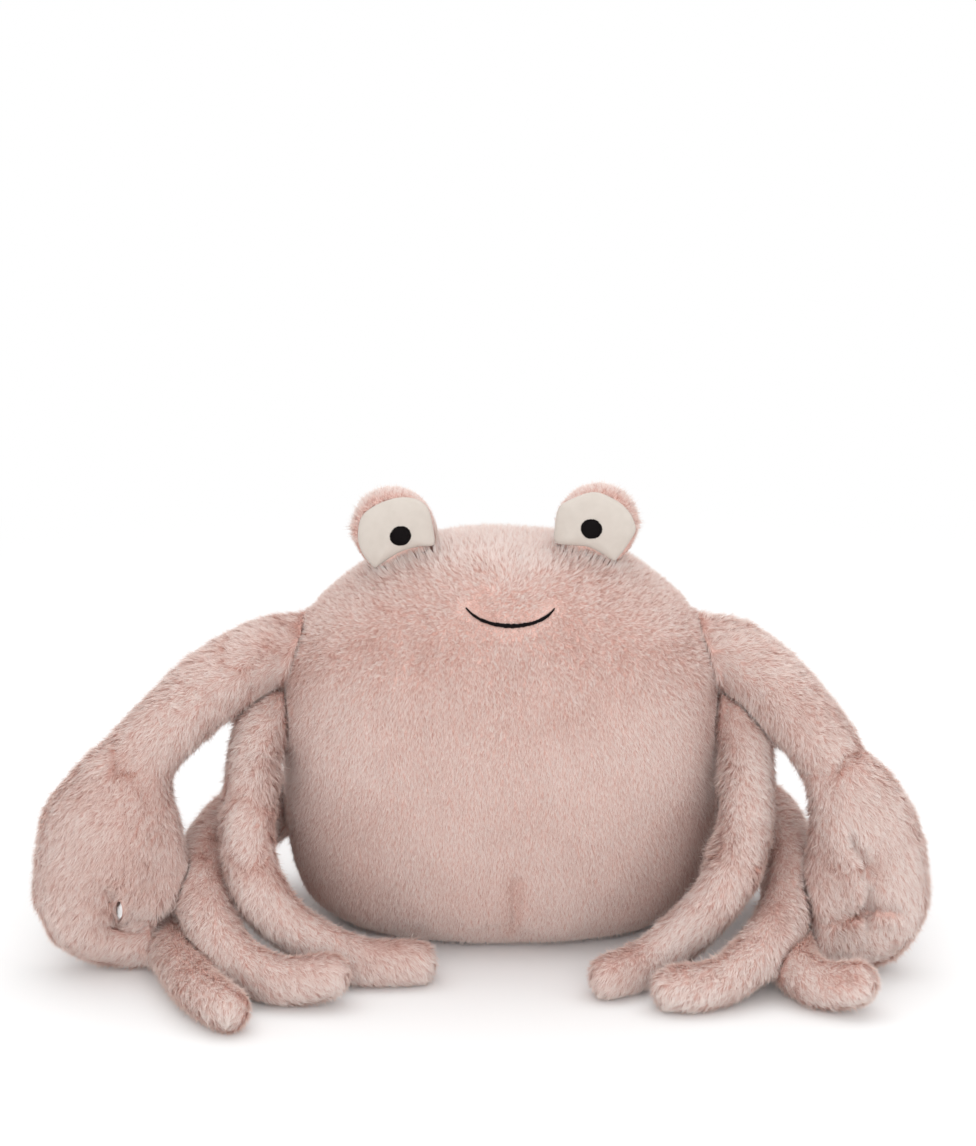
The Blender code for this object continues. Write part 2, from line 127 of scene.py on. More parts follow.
# Sewn lines as the photograph shows them, in its pixels: line, reach and depth of the pinch
SEAMS = {
    "body": (
        (((517, 880), (514, 895), (515, 910), (512, 925), (511, 938)), 0.0028, 0.0046),
    ),
    "left_arm": (
        (((113, 894), (117, 903), (118, 911), (120, 920)), 0.0016, 0.0040),
        (((120, 921), (128, 924), (140, 924), (150, 921), (158, 917)), 0.0019, 0.0050),
        (((113, 898), (119, 914), (140, 922), (160, 917)), 0.0120, 0.0032),
        (((124, 752), (133, 762), (143, 780), (152, 800)), 0.0060, 0.0015),
    ),
    "right_rear_leg": (
        (((824, 978), (856, 975)), 0.0105, 0.0030),
    ),
    "right_arm": (
        (((893, 943), (893, 947)), 0.0028, 0.0040),
        (((872, 749), (860, 751), (846, 757), (836, 765), (824, 773)), 0.0026, 0.0036),
        (((870, 749), (850, 756), (826, 772)), 0.0090, 0.0015),
    ),
}
# Lines at which one side of a piece lies over the other: line, way to the sunk side across and up
# in the photograph, reach and depth
OVERLAPS = {
    "right_arm": (
        (((846, 846), (857, 862), (861, 880), (861, 896), (860, 918)), (1, 0), 0.0100, 0.0062),
        (((856, 918), (866, 914), (880, 913), (892, 914)), (0, 1), 0.0075, 0.0048),
        (((862, 917), (846, 922), (830, 924)), (0, 1), 0.0060, 0.0022),
    ),
    "left_arm": (
        (((112, 893), (117, 903), (119, 914)), (-1, 0), 0.0060, 0.0022),
        (((120, 921), (132, 925), (146, 923), (158, 918)), (0, -1), 0.0080, 0.0038),
    ),
}
# Creases where one side lies over the other: band, the painted shade of the pile on the sunk side,
# how much shorter it is there, and the rise on the side that lies over
CREASE_BAND = 0.0030
CREASE_PAINTED_SHADE = 0.85
CREASE_THIN = 0.50
CREASE_RISE = 0.35
# Along seams the pile is painted darker, a painted shade, and is shorter; the last number caps the
# width of the band and weakens wider seams
SEAM_PAINTED_SHADE = 0.55
SEAM_THIN = 0.45
SEAM_WIDEST = 0.004
# Narrow gap between the fingers of a claw: middle, half width and half height in the photograph
HOLES = {"left_arm": (118.6, 911.0, 2.7, 7.0)}
HOLE_FLARE = 2.2
HOLE_DEPTH = 0.20
HOLE_ROOM = 0.0004
# How strongly the pile of each kind of piece parts along its folds
FOLDS = {"body": 0.10, "arm": 0.75, "leg": 0.95, "pod": 0.0}
FOLD_DARK = 0.55
FOLD_RISE = 0.20
FOLD_TOUSLE = 0.5
# How near to an eye the body's pile starts to stand up, and by how much; also at other neighbours
EYE_BAND = 0.009
EYE_LIFT = 0.85
EYE_LONGER = 1.1
JOIN_BAND = 0.0040
JOIN_LIFT = 0.55
# Painted shade on the pile at the joints between the body and the limbs
JOIN_PAINTED_SHADE = 0.30
# Paleness of each kind of piece
TONES = {"body": 0.60, "arm": 0.82, "leg": 0.78, "pod": 0.78}
PATCHES = {"body": 0.11, "arm": 0.22, "leg": 0.24, "pod": 0.15}
# Painted light: the lower ends of the legs, the lit feet, are painted paler
FOOT_PAINTED_LIGHT = 0.30
# Places where the pile is rosier or paler: pixel, reach and change of tone. Some are the pile's own
# colour, some painted light and painted shade, as marked
TONE_AND_PAINTED_LIGHT_SPOTS = {
    "right_rear_leg": (((840, 977), 0.0240, 0.45), ((826, 978), 0.0090, -0.85),
                       ((842, 976), 0.0090, -0.75), ((858, 975), 0.0080, -0.85)),
    "body": (((510, 600), 0.0420, 0.16), ((500, 592), 0.0280, 0.22),
             ((422, 552), 0.0110, -0.30), ((566, 552), 0.0110, -0.30), ((497, 560), 0.0200, 0.12),
             # Painted light: the shaded sides of the belly are painted paler
             ((325, 740), 0.0450, 0.25), ((660, 740), 0.0450, 0.25),
             # Painted shade: the lower sides of the body near the floor are painted darker
             ((320, 890), 0.0400, -0.30), ((690, 880), 0.0400, -0.30)),
    # At (894, 944) the claw's dimple is painted dark, a painted shade; (890, 850) on the next line
    # is painted light on the claw's side towards the light
    "right_arm": (((806, 850), 0.0160, -0.40), ((894, 944), 0.0032, -1.10),
                  ((890, 850), 0.0350, 0.12)),
    # (110, 880) is painted shade: the left claw, on the side away from the light, is painted darker
    "left_arm": (((150, 790), 0.0120, -0.10), ((110, 880), 0.0600, -0.26)),
    "left_front_leg": (((395, 957), 0.0350, -0.45),),
    "left_middle_leg": (((310, 975), 0.0350, -0.22),),
    # Painted light: the foot in the claw's shade is painted paler
    "left_rear_leg": (((190, 960), 0.0450, 0.32),),
    # (738, 770) is painted light: the leg's top, shaded by the arm, is painted paler
    "right_front_leg": (((610, 965), 0.0300, -0.30), ((738, 770), 0.0220, 0.30)),
    # Painted light: the shaded foot is painted paler
    "right_middle_leg": (((680, 982), 0.0400, 0.30),),
}
# Places where the pile is fuller, or shorter: pixel, reach and added length
FULLER_RISE = 0.42
FULLER_SPOTS = {
    "body": (((288, 764), 0.0140, 0.8), ((712, 764), 0.0140, 0.8), ((708, 840), 0.0140, 0.8),
             ((436, 548), 0.0055, 1.2)),
    "left_front_leg": (((274, 764), 0.0140, 0.8),),
    "right_front_leg": (((725, 764), 0.0140, 0.8), ((718, 842), 0.0140, 0.8)),
    "left_rear_leg": (((170, 915), 0.0130, 0.9),),
    "right_rear_leg": (((830, 978), 0.0085, -0.35), ((847, 976), 0.0085, -0.35)),
    "left_arm": (((165, 905), 0.0080, 0.5),),
    "right_arm": (((842, 931), 0.0085, 0.5), ((894, 944), 0.0035, -0.5)),
}
# Smile in the photograph's pixels, and the width of its stitches from one end to the other
SMILE_LINE = ((465.5, 607.5), (471, 613.5), (479, 619), (487, 622.3), (495.5, 624.6), (509, 626.2),
              (521, 625.6), (534.5, 622.8), (545.5, 617.5), (551, 613), (555, 608))
SMILE_WIDTHS = ((0.0, 0.0009), (0.10, 0.0017), (0.5, 0.0028), (0.88, 0.0020), (1.0, 0.0008))
SMILE_RAGGED = (0.78, 1.15)
SMILE_LIFT = 0.0003
SMILE_PITCH = 0.00095
STITCH_PITCH = 0.00052
STITCH_RISE = 0.0007
# Pupils: half width, half height, lean of the stitches, and the middle in the photograph
PUPIL_HALF_WIDTH = 0.0065
PUPIL_HALF_HEIGHT = 0.0060
PUPIL_RAGGED = (-0.00015, 0.00022)
PUPIL_RISE = (0.0004, 0.0006)
PUPILS = {"left_pupil": ((400.5, 536.0), 28.0), "right_pupil": ((591.5, 529.0), -24.0)}
# Outlines of the eye suedes in the photograph, and the dome and the rise at the sewn edge
WHITE_LINES = {
    "left_eye_white": (
        (357.8, 539), (358.2, 529), (360.2, 520), (365, 512.5), (376.7, 504.5), (389, 499.7),
        (398, 497.6), (409, 497.4), (419.4, 500.4), (427, 507), (431, 517), (433.3, 529),
        (434.8, 539.5), (432.8, 545.5), (418.2, 546.5), (401, 551.5), (388.9, 558.5), (378, 566),
        (374.6, 567.6), (369, 562.3), (363.2, 554.3), (359.6, 546.5),
    ),
    "right_eye_white": (
        (554.8, 527.6), (556.6, 514.1), (560.5, 505.5), (570, 499.6), (585.3, 493.5),
        (596.3, 492.1), (608.6, 496.2), (622, 504.3), (630.6, 514.1), (635.3, 525.1),
        (634.9, 532.5), (630.6, 540), (624.5, 549), (618.5, 557), (614.5, 561), (608, 558),
        (598.8, 552), (586.6, 546.6), (569.4, 545), (557.2, 543.4), (554.0, 537),
    ),
}
SUEDE_DOME = 0.0036
SUEDE_FLAT = 0.0026
SUEDE_ROUND = (3.2, 0.62)
SUEDE_EDGE = 0.0004
SUEDE_BACK = 0.0001
SUEDE_CREASE = 0.00022
SUEDE_CREASE_SIZE = 0.007

# Share of the light that passes through a blade
SEEN_THROUGH = 0.44
THROUGH_TINT = (0.97, 0.79, 0.73)

# Colours, linear
# Root and tip colours of painted shade, which the pile takes below the crease tone: in creases,
# seams, joints, dark spots and the deepest folds
ROOT_PAINTED_SHADE = (0.42, 0.22, 0.175)
ROOT_DEEP = (0.56, 0.30, 0.245)
ROOT_PALE = (0.78, 0.60, 0.545)
TIP_PAINTED_SHADE = (0.66, 0.40, 0.33)
TIP_DEEP = (0.795, 0.625, 0.56)
PAINTED_SHADE_TONE = 0.24
TIP_PALE = (0.925, 0.915, 0.89)
SUEDE_CREAM = (0.535, 0.482, 0.435)
SUEDE_SHADE = (0.508, 0.455, 0.408)
SHEEN_PINK = (1.0, 0.76, 0.71)
THREAD_BLACK = (0.0022, 0.0013, 0.0016)
THREAD_PALE = tuple(2.2 * channel for channel in THREAD_BLACK)
FLOOR_WHITE = (0.82, 0.82, 0.82)

# Strength of the light from all round, and the lamps: place, aim, width, height and watts
AIR_STRENGTH = 1.16
LAMPS = (
    ("overhead", (0.0, 0.45, 1.60), (0.0, 0.0, 0.10), 2.40, 1.80, 14.0),
    ("front", (0.0, -2.1, 0.85), (0.0, 0.0, 0.08), 1.80, 1.30, 21.5),
    ("side", (1.7, -0.6, 0.9), (0.0, 0.0, 0.12), 0.9, 0.9, 2.0),
)


# ---- photograph

def camera_axes():
    """Right, up and forward of the camera."""
    forward = CAMERA_AIM.normalized()
    turn = forward.to_track_quat("-Z", "Y")
    return turn @ Vector((1, 0, 0)), turn @ Vector((0, 1, 0)), forward


def sight_line(across, down):
    """Direction from the camera through a pixel of the photograph."""
    right, up, forward = camera_axes()
    focal = LENS_MM / SENSOR_MM * PHOTO_HEIGHT
    side = (across - PHOTO_WIDTH / 2) / focal
    rise = (PHOTO_HEIGHT / 2 - down) / focal
    return (forward + right * side + up * rise).normalized()


def seen_on(tree, across, down):
    """The point of a surface that shows at a pixel, or the nearest one past its edge."""
    sight = sight_line(across, down)
    hit = tree.ray_cast(CAMERA_PLACE, sight)[0]
    if hit is None:
        far = CAMERA_PLACE + sight * (0.05 - CAMERA_PLACE.y) / max(sight.y, 1e-6)
        near = tree.find_nearest(far)[0]
        hit = tree.find_nearest(CAMERA_PLACE + sight * (near - CAMERA_PLACE).dot(sight))[0]
    return hit


# ---- mesh help

def node_tree(name):
    """Search tree over a CAD node's faces."""
    mesh = NODES[name].data
    return BVHTree.FromPolygons([v.co for v in mesh.vertices], [p.vertices for p in mesh.polygons])


def rows(items, field, width=3, kind=float):
    """One field of a mesh's vertices, edges or triangles, with a row for each."""
    values = np.empty(len(items) * width, dtype=kind)
    items.foreach_get(field, values)
    return values.reshape(-1, width)


def vertex_array(mesh):
    return rows(mesh.vertices, "co")


def normal_array(mesh):
    return rows(mesh.vertices, "normal")


def edge_array(mesh):
    return rows(mesh.edges, "vertices", 2, np.int64)


def set_vertices(mesh, places):
    mesh.vertices.foreach_set("co", np.ascontiguousarray(places, dtype=np.float64).ravel())
    mesh.update()


def near_share(distance, reach):
    """Share from 1 at no distance to almost nothing at twice the reach."""
    return np.exp(-(distance / reach) ** 2)


def above_floor(places):
    places[:, 2] = np.maximum(places[:, 2], FLOOR_ROOM)
    return places


def unit(vectors):
    return vectors / np.maximum(np.linalg.norm(vectors, axis=1, keepdims=True), 1e-12)


def along_surface(vectors, normals):
    """The parts of the vectors that lie in the surface, at full length."""
    return unit(vectors - normals * np.sum(vectors * normals, axis=1, keepdims=True))


def noise_at(places, size, shift=0.0):
    """Smooth noise from -1 to 1 with bumps of about this size."""
    offset = Vector((shift, shift * 1.7, -shift))
    return np.array([noise.noise(Vector(p) / size + offset) for p in places])


def noise_vectors(places, size, shift=0.0):
    offset = Vector((shift, shift * 1.7, -shift))
    return np.array([noise.noise_vector(Vector(p) / size + offset) for p in places])


def neighbour_mean(values, edges, rounds):
    """Smooths a field over the mesh by averaging each vertex with its neighbours."""
    count = np.ones(len(values))
    np.add.at(count, edges[:, 0], 1)
    np.add.at(count, edges[:, 1], 1)
    for _ in range(rounds):
        total = values.copy()
        np.add.at(total, edges[:, 0], values[edges[:, 1]])
        np.add.at(total, edges[:, 1], values[edges[:, 0]])
        values = total / (count[:, None] if values.ndim == 2 else count)
    return values


def linked(name, data):
    """A new object in the scene's own collection."""
    piece = bpy.data.objects.new(name, data)
    SCENE.collection.objects.link(piece)
    return piece


def finished(name, mesh, material):
    """A new mesh piece in its material."""
    piece = linked(name, mesh)
    mesh.materials.clear()
    mesh.materials.append(material)
    return piece


# ---- skins

def kind_of(name):
    for kind in ("arm", "leg", "pod"):
        if kind in name:
            return kind
    return "body"


def remeshed(source, voxel, smoothing):
    """The mesh of a CAD node with even faces, as a new mesh."""
    worker = linked("worker", source.data.copy())
    remesh = worker.modifiers.new("remesh", "REMESH")
    remesh.mode = "VOXEL"
    remesh.voxel_size = voxel
    smooth = worker.modifiers.new("smooth", "SMOOTH")
    smooth.factor = 0.5
    smooth.iterations = smoothing
    graph = bpy.context.evaluated_depsgraph_get()
    mesh = bpy.data.meshes.new_from_object(worker.evaluated_get(graph))
    old = worker.data
    bpy.data.objects.remove(worker)
    bpy.data.meshes.remove(old)
    return mesh


def smoothstep(values):
    values = np.clip(values, 0, 1)
    return values * values * (3 - 2 * values)


def room_around(name, places, trees):
    """Distance from each place to the nearest other piece, up to the width of a seam's band."""
    room = np.full(len(places), SEAM_BAND)
    for other, box in close_pieces(name, SEAM_BAND).items():
        for index, distance, _, _ in clearances(places, box, trees[other], SEAM_BAND):
            room[index] = min(room[index], max(distance, 0.0))
    return room


def drawn_in(name, mesh, depth, trees):
    """Moves the surface inwards, but not away from the floor or the pieces that it touches."""
    places, normals = vertex_array(mesh), normal_array(mesh)
    share = smoothstep(room_around(name, places, trees) / SEAM_BAND)
    share = neighbour_mean(share, edge_array(mesh), 1)
    move = -normals * (SEAM_INSET + (depth - SEAM_INSET) * share)[:, None]
    off_floor = np.clip(places[:, 2] / FLOOR_BAND, 0, 1)
    move[:, 2] *= np.where(normals[:, 2] < 0, off_floor, 1)
    set_vertices(mesh, above_floor(places + move))


def puffed(skins):
    """Fills the skins by a short cloth run, and caps how far each point moves."""
    starts = {}
    for name, skin in skins.items():
        starts[name] = vertex_array(skin.data)
        cloth = skin.modifiers.new("stuffing", "CLOTH")
        cloth.settings.quality = 4
        cloth.settings.mass = 0.25
        cloth.settings.use_pressure = True
        cloth.settings.uniform_pressure_force = STUFFING_PRESSURE
        cloth.settings.effector_weights.gravity = 0
        cloth.collision_settings.use_collision = False
        cloth.point_cache.frame_start = 1
        cloth.point_cache.frame_end = STUFFING_FRAMES
    for number in range(1, STUFFING_FRAMES + 1):
        SCENE.frame_set(number)
    graph = bpy.context.evaluated_depsgraph_get()
    ends = {name: vertex_array(skin.evaluated_get(graph).data) for name, skin in skins.items()}
    for name, skin in skins.items():
        skin.modifiers.clear()
        move = ends[name] - starts[name]
        size = np.maximum(np.linalg.norm(move, axis=1, keepdims=True), 1e-9)
        move *= np.minimum(1, STUFFING_CAP / size)
        set_vertices(skin.data, above_floor(starts[name] + move))
    SCENE.frame_set(1)


def lumpy(mesh, shift):
    """The gentle unevenness of loose filling."""
    places, normals = vertex_array(mesh), normal_array(mesh)
    lumps = noise_at(places, LUMP_SIZE, shift) * LUMP_HEIGHT
    lumps *= np.clip(places[:, 2] / FLOOR_BAND, 0, 1)
    set_vertices(mesh, places + normals * np.minimum(lumps, LUMP_HEIGHT * 0.6)[:, None])


def pinched(mesh, seams):
    """Draws the skin in along its sewn lines."""
    for line, reach, depth in seams:
        places, normals = vertex_array(mesh), normal_array(mesh)
        near = near_share(distance_to_line(places, line), reach)
        set_vertices(mesh, places - normals * (depth * near)[:, None])


def beside_line(places, normals, line, way):
    """As the photograph shows it: distance to a line, and whether a place lies on its sunk side."""
    right, up, forward = (np.array(axis) for axis in camera_axes())
    away = places - nearest_on_line(places, line)
    away = away - forward * (away @ forward)[:, None] * (normals @ forward < 0.1)[:, None]
    return np.linalg.norm(away, axis=1), away @ (right * way[0] + up * way[1]) > 0


def overlapped(mesh, overlaps):
    """Lets the skin sink on one side of a line, so that the other side lies over it."""
    for line, way, reach, depth in overlaps:
        places, normals = vertex_array(mesh), normal_array(mesh)
        distance, sunk = beside_line(places, normals, line, way)
        near = near_share(distance, reach)
        move = np.where(sunk, -depth, 0.30 * depth) * near
        set_vertices(mesh, places + normals * move[:, None])


def hole_axes(tree, hole):
    """Middle and axis of a hole along the camera's sight, and its half width and half height."""
    across, down, half_width, half_height = hole
    middle = seen_on(tree, across, down)
    axis = sight_line(across, down)
    right, up, _ = camera_axes()
    scale = (middle - CAMERA_PLACE).length / (LENS_MM / SENSOR_MM * PHOTO_HEIGHT)
    return middle, axis, right * half_width * scale, up * half_height * scale


def pierced(skin, tree, hole):
    """Cuts the see-through gap of a claw into its skin."""
    middle, axis, wide, high = hole_axes(tree, hole)
    steps = 20
    ring = [2 * math.pi * step / steps for step in range(steps)]
    ends = (middle - axis * HOLE_DEPTH / 2, middle + axis * HOLE_DEPTH / 2)
    places = [end + (wide * math.cos(turn) + high * math.sin(turn)) * flare
              for end, flare in zip(ends, (1 / HOLE_FLARE, HOLE_FLARE)) for turn in ring]
    faces = [tuple(range(steps)), tuple(range(steps, 2 * steps))]
    for step in range(steps):
        after = (step + 1) % steps
        faces.append((step, after, steps + after, steps + step))
    cutter = mesh_piece("hole_cutter", places, faces, skin.data.materials[0])
    cut = skin.modifiers.new("gap", "BOOLEAN")
    cut.operation, cut.solver, cut.object = "DIFFERENCE", "EXACT", cutter
    graph = bpy.context.evaluated_depsgraph_get()
    old, skin.data = skin.data, bpy.data.meshes.new_from_object(skin.evaluated_get(graph))
    skin.modifiers.clear()
    bpy.data.meshes.remove(old)
    bpy.data.objects.remove(cutter)


def in_hole(places, tree, hole):
    """Whether each place lies in the see-through gap, which grows wider towards the back."""
    middle, axis, wide, high = hole_axes(tree, hole)
    away = places - np.array(middle)
    share = np.clip(away @ np.array(axis) / HOLE_DEPTH + 0.5, 0, 1)
    flare = 1 / HOLE_FLARE + (HOLE_FLARE - 1 / HOLE_FLARE) * share
    inside = 0
    for half in (wide, high):
        reach = half.length * flare + HOLE_ROOM
        inside = inside + (away @ np.array(half.normalized()) / reach) ** 2
    return inside < 1


def nearest_on_line(places, line):
    """The nearest point of a run of points to each place."""
    best, nearest = np.full(len(places), np.inf), np.zeros_like(places)
    for start, end in zip(line[:-1], line[1:]):
        start, end = np.array(start), np.array(end)
        run = end - start
        share = np.clip(((places - start) @ run) / max(run @ run, 1e-12), 0, 1)
        point = start + share[:, None] * run
        distance = np.linalg.norm(places - point, axis=1)
        closer = distance < best
        best[closer], nearest[closer] = distance[closer], point[closer]
    return nearest


def distance_to_line(places, line):
    """Distance from each place to a run of points."""
    return np.linalg.norm(places - nearest_on_line(places, line), axis=1)


# ---- combing

def way_along(mesh, root):
    """Distance over the surface from the end of a limb that is sewn to the body."""
    places, edges = vertex_array(mesh), edge_array(mesh)
    lengths = np.linalg.norm(places[edges[:, 0]] - places[edges[:, 1]], axis=1)
    links = [[] for _ in range(len(places))]
    for (a, b), length in zip(edges.tolist(), lengths.tolist()):
        links[a].append((b, length))
        links[b].append((a, length))
    start = np.linalg.norm(places - np.array(root), axis=1)
    near = np.flatnonzero(start < start.min() + 0.012)
    way = [math.inf] * len(places)
    queue = []
    for index in near.tolist():
        way[index] = float(start[index])
        queue.append((way[index], index))
    heapq.heapify(queue)
    while queue:
        done, index = heapq.heappop(queue)
        if done > way[index]:
            continue
        for other, length in links[index]:
            if done + length < way[other]:
                way[other] = done + length
                heapq.heappush(queue, (way[other], other))
    return np.array(way)


def slope(values, mesh):
    """The direction in which a field over the mesh grows."""
    places, edges = vertex_array(mesh), edge_array(mesh)
    a, b = edges[:, 0], edges[:, 1]
    run = places[b] - places[a]
    step = (values[b] - values[a]) / np.maximum(np.sum(run * run, axis=1), 1e-12)
    grown = np.zeros_like(places)
    np.add.at(grown, a, run * step[:, None])
    np.add.at(grown, b, run * step[:, None])
    return grown


def combed(name, mesh):
    """Direction of the pile at each vertex of a skin."""
    places, normals, edges = vertex_array(mesh), normal_array(mesh), edge_array(mesh)
    if name in LIMB_ROOTS:
        way = neighbour_mean(way_along(mesh, LIMB_ROOTS[name]), edges, 4)
        lie = neighbour_mean(unit(slope(way, mesh)), edges, 8)
        lie = lie + 0.30 * noise_vectors(places, 0.022, 3.1)
        lie[:, 2] -= 0.25
    elif kind_of(name) == "pod":
        middle = places.mean(axis=0)
        lie = (places - middle) * 10 + np.array((0.0, 1.0, -0.1))
        lie = lie + 0.35 * noise_vectors(places, 0.012, 5.7)
    else:
        upward = smoothstep((normals[:, 2] - 0.25) / 0.5)
        lie = np.zeros_like(places)
        parting = places[:, 0] / 0.06 + 1.15 * noise_at(places, 0.030, 9.0)
        lie[:, 0] = upward * np.clip(parting, -1, 1)
        lie[:, 1] = 0.45 * upward
        lie[:, 2] = -1.0 + 0.6 * upward
        lie = lie + 0.30 * noise_vectors(places, 0.035, 1.3)
    return along_surface(lie, normals)


# ---- pile

class Ground:
    """A skin and what grows on it, as arrays that can be read at any spot of its faces."""

    def __init__(self, name, mesh, marks):
        mesh.calc_loop_triangles()
        self.corners = rows(mesh.loop_triangles, "vertices", 3, np.int64)
        self.places = vertex_array(mesh)
        self.normals = normal_array(mesh)
        self.lie = combed(name, mesh)
        a, b, c = (self.places[self.corners[:, k]] for k in range(3))
        self.areas = np.linalg.norm(np.cross(b - a, c - a), axis=1) / 2
        self.weight = self.weighed()
        self.density = self.weight / self.areas
        patches = noise_at(self.places, 0.034, 11.0) + 0.6 * noise_at(self.places, 0.013, 4.0)
        self.tone = TONES[kind_of(name)] + PATCHES[kind_of(name)] * patches
        self.length = 1.0 + 0.12 * noise_at(self.places, 0.018, 8.0)
        self.tousle = np.full(len(self.places), 0.45)
        self.rise = np.zeros(len(self.places))
        self.suit_kind(name)
        self.mark_lines(marks)
        self.mark_folds(FOLDS[kind_of(name)])
        for place, reach, change in marks["fuller"]:
            near = self.near_spot(place, reach)
            self.length *= 1 + change * near
            self.rise += FULLER_RISE * near
        # Tone spots: the pile's own colour at some, painted light and painted shade at others
        for place, reach, change in marks["tones"]:
            self.tone += change * self.near_spot(place, reach)

    def weighed(self):
        """Each face's area, but less where the pile is thinner: underneath and at the back."""
        weight = self.areas.copy()
        normals = self.normals[self.corners].mean(axis=1)
        flat = self.places[self.corners].mean(axis=1)[:, 2] < 0.004
        weight[(normals[:, 2] < -0.6) & flat] *= UNDERSIDE_SHARE
        weight *= 1 - (1 - BACK_SHARE) * smoothstep((normals[:, 1] - 0.1) / 0.5)
        return weight

    def near_spot(self, place, reach):
        return near_share(np.linalg.norm(self.places - np.array(place), axis=1), reach)

    def suit_kind(self, name):
        """What sets the pile of a body, a leg, an arm and a pod apart."""
        across, deep, height = self.places.T
        if name == "body":
            upward = np.clip((self.normals[:, 2] - 0.02) / 0.35, 0, 1)
            self.tousle = 0.12 + 0.88 * upward
            self.rise += 0.38 * upward
            crown = smoothstep((self.normals[:, 2] - 0.70) / 0.28)
            # Painted light: the crown of the body, under the light from above and behind, is
            # painted paler; its pile is also longer
            self.tone += 0.30 * crown
            self.length *= 1 + 0.30 * crown
        elif kind_of(name) == "leg":
            # Painted light: the feet are painted paler
            self.tone += FOOT_PAINTED_LIGHT * smoothstep(1 - height / 0.07)
        elif kind_of(name) == "arm":
            self.tousle = 0.50 + 0.40 * noise_at(self.places, 0.040, 2.0)
        else:
            outer = (across - across.mean()) * (-1 if "left" in name else 1)
            self.length *= 0.86 + 0.36 * np.clip(outer / 0.02, -1, 1)
            share = smoothstep(((height - height.min()) / np.ptp(height) - 0.25) / 0.25)
            self.length *= np.where(deep < deep.mean(), 0.35 + 0.65 * share, 1.0)

    def mark_lines(self, marks):
        """Pile painted darker along seams and creases, a painted shade, and shorter there; fuller
        on the side that overlaps.
        """
        for line, reach, _ in marks["seams"]:
            band = 1.6 * min(reach, SEAM_WIDEST)
            near = near_share(distance_to_line(self.places, line), band)
            sharp = min(1.0, (SEAM_WIDEST / reach) ** 2)
            # Painted shade: the pile along a seam is painted darker
            self.tone -= SEAM_PAINTED_SHADE * sharp * near
            self.length *= 1 - SEAM_THIN * sharp * near
        for line, way, _, _ in marks["overlaps"]:
            distance, sunk = beside_line(self.places, self.normals, line, way)
            near = near_share(distance, CREASE_BAND)
            # Painted shade: the pile on the sunk side of a crease, and a little on the other, is
            # painted darker
            self.tone -= np.where(sunk, CREASE_PAINTED_SHADE, 0.1) * near
            self.length *= 1 - np.where(sunk, CREASE_THIN, 0) * near
            self.rise += np.where(sunk, 0, CREASE_RISE) * near

    def mark_folds(self, strength):
        """Wavering lines at which the pile parts, in some places only."""
        folds = noise_at(self.places, 0.026, 21.0)
        here = smoothstep(noise_at(self.places, 0.055, 31.0) * 2.5 + 0.2) * strength
        fold = here * near_share(folds, 0.10)
        self.tone -= FOLD_DARK * fold
        self.rise += FOLD_RISE * fold
        self.tousle = np.clip(self.tousle + FOLD_TOUSLE * fold, 0, 1)

    def spots(self, count, chance):
        """Evenly scattered spots: the face of each, and its shares of the face's corners."""
        total = np.cumsum(self.weight) / self.weight.sum()
        drawn = (np.arange(count) + chance.random(count)) / count
        face = np.minimum(np.searchsorted(total, drawn), len(total) - 1)
        first, second = chance.random(count), chance.random(count)
        over = first + second > 1
        first[over], second[over] = 1 - first[over], 1 - second[over]
        return face, np.stack([1 - first - second, first, second], axis=1)

    def read(self, fields, face, shares):
        """The values of some fields at the spots."""
        for field in fields:
            weights = shares if field.ndim == 1 else shares[:, :, None]
            yield np.sum(field[self.corners[face]] * weights, axis=1)


def turned(vectors, axes, angles):
    """Vectors turned about unit axes at right angles to them."""
    cos, sin = np.cos(angles)[:, None], np.sin(angles)[:, None]
    return vectors * cos + np.cross(axes, vectors) * sin


def tufted(roots, ground, spacing, chance):
    """The tuft that each blade belongs to, and the number of tufts."""
    count = max(8, int(ground.areas.sum() / spacing ** 2))
    middles, = ground.read([ground.places], *ground.spots(count, chance))
    tree = kdtree.KDTree(count)
    for index, place in enumerate(middles):
        tree.insert(place, index)
    tree.balance()
    nearest = (tree.find(place)[1] for place in roots)
    return np.fromiter(nearest, dtype=np.int64, count=len(roots)), count


def close_pieces(name, margin):
    """The boxes of the other CAD nodes that come near this one's."""
    boxes = {other: [np.array(corner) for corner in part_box(other)] for other in NODES}
    low, high = boxes.pop(name)
    return {other: box for other, box in boxes.items()
            if np.all(box[0] < high + margin) and np.all(box[1] > low - margin)}


def clearances(places, box, tree, margin):
    """For places near a box: signed distance to its piece, nearest point and outward normal."""
    low, high = box
    near = np.flatnonzero(np.all((places > low - margin) & (places < high + margin), axis=1))
    result = []
    for index in near.tolist():
        point, normal, _, distance = tree.find_nearest(places[index], margin)
        if point is None:
            continue
        outside = (Vector(places[index]) - point).dot(normal)
        result.append((index, distance if outside >= 0 else -distance, point, normal))
    return result


def leant_over(name, near, roots, lie, lift, length, tone):
    """Stands the body's pile up beneath the eyes, and leans any pile over the joint beside it,
    where it is painted darker: a painted shade.
    """
    if kind_of(name) == "pod":
        return
    for other, found in near.items():
        if "pod" in other:
            band, more, longer, dark = EYE_BAND, EYE_LIFT, EYE_LONGER, 0
        elif other == "body" or other in LIMB_ROOTS:
            band, more, longer, dark = JOIN_BAND, JOIN_LIFT, 0, JOIN_PAINTED_SHADE
        else:
            continue
        for index, distance, point, _ in found:
            share = 1 - max(distance, 0.0) / band
            if share > 0:
                towards = np.array(point) - roots[index]
                lie[index] += towards / max(np.linalg.norm(towards), 1e-6) * share * 2
                lift[index] += more * share
                length[index] *= 1 + longer * share
                # Painted shade: the pile at a joint is painted darker
                tone[index] -= dark * share


